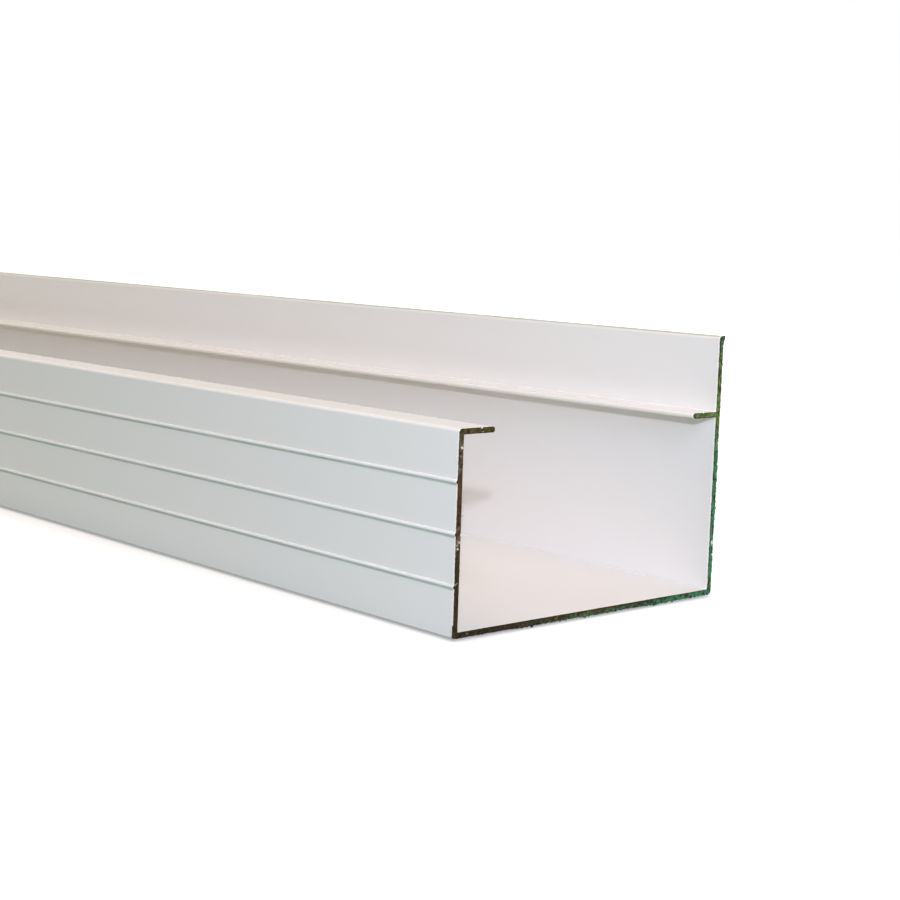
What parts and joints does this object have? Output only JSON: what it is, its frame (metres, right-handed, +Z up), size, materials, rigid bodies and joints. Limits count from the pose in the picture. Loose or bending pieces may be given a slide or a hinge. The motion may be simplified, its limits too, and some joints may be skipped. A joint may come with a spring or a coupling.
{
  "type": "box gutter section",
  "caption": "Straight length of extruded aluminium box gutter: a U-shaped rainwater trough with a flanged, beaded front wall and a taller back wall carrying an inner ledge.",
  "frame": {"origin": "underside of the base, midway along the length and midway between the front and back faces", "axes": "+X along the length, +Y from the beaded front face to the back face, +Z up"},
  "size_m": [2, 0.1517, 0.112],
  "materials": {
    "white_powder_coat": "white semi-gloss polyester powder coat over extruded aluminium",
    "sawn_aluminium": "bare sawn aluminium at the two cut ends, tarnished dark brown to green, with a ragged burr"
  },
  "bodies": {
    "root": {"gutter_profile": "white_powder_coat"}
  },
  "joints": []
}
